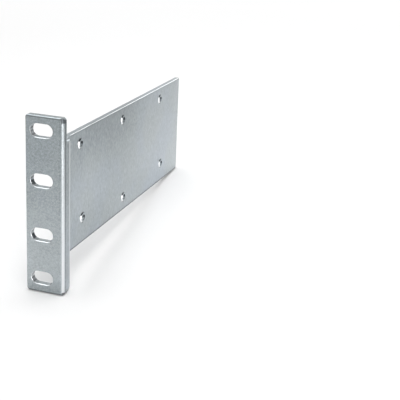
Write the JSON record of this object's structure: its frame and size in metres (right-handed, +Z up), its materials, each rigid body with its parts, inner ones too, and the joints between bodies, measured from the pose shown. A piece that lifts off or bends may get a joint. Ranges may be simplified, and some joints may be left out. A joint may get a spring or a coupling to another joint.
{
  "type": "rack mount ear bracket",
  "caption": "Folded steel bracket that holds one side of a rack chassis: a slotted ear screws to the rack's upright and a long side plate screws to the chassis.",
  "frame": {"origin": "on the ear's rear face, where the rack's upright seats, at the middle of the slots' width and half the ear's height", "axes": "+Y runs back along the chassis from the ear, +X points from the bracket to the chassis, +Z is up"},
  "size_m": [0.0198, 0.156, 0.088],
  "materials": {
    "zinc_plated_steel": "bright zinc plate on folded sheet, satin, with a faint vertical grain"
  },
  "bodies": {
    "root": {"ear_bracket": "zinc_plated_steel"}
  },
  "joints": []
}
